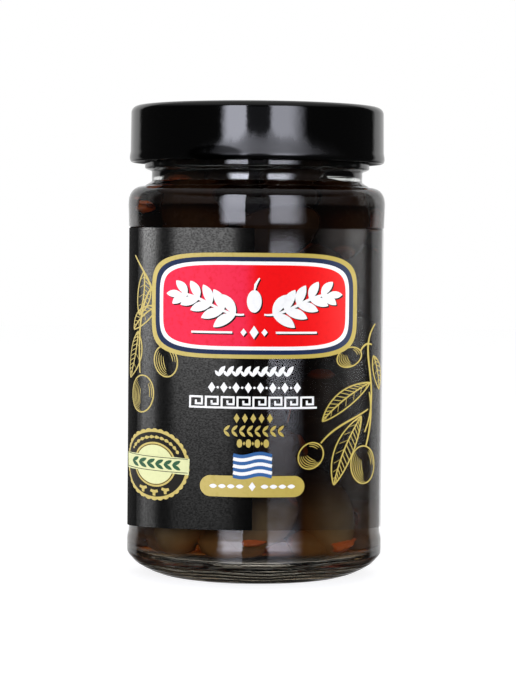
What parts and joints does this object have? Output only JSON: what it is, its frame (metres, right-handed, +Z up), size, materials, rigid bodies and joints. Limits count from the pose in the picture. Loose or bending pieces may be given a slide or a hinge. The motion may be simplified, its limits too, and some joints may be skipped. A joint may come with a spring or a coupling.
{
  "type": "jar of olives",
  "caption": "Shut glass jar of dark olives in brine, with a black twist-off lid and a wrap-round black label.",
  "frame": {"origin": "middle of the jar's foot, on the surface it stands on", "axes": "+Z up along the jar's axis, -Y towards the front of the label, +X to the front view's right"},
  "size_m": [0.0694, 0.0694, 0.1264],
  "materials": {
    "clear_glass": "clear, polished",
    "black_lacquer": "gloss lacquer on tinplate",
    "black_film": "satin film with a fine grain",
    "olive_skin": "wet, smooth skin",
    "brine": "clear brown liquid",
    "gold_print": "satin gold print",
    "white_print": "satin print",
    "red_print": "satin print",
    "blue_print": "satin print"
  },
  "bodies": {
    "root": {"jar": "clear_glass", "lid": "black_lacquer", "label": "black_film", "olives": "olive_skin"}
  },
  "joints": []
}
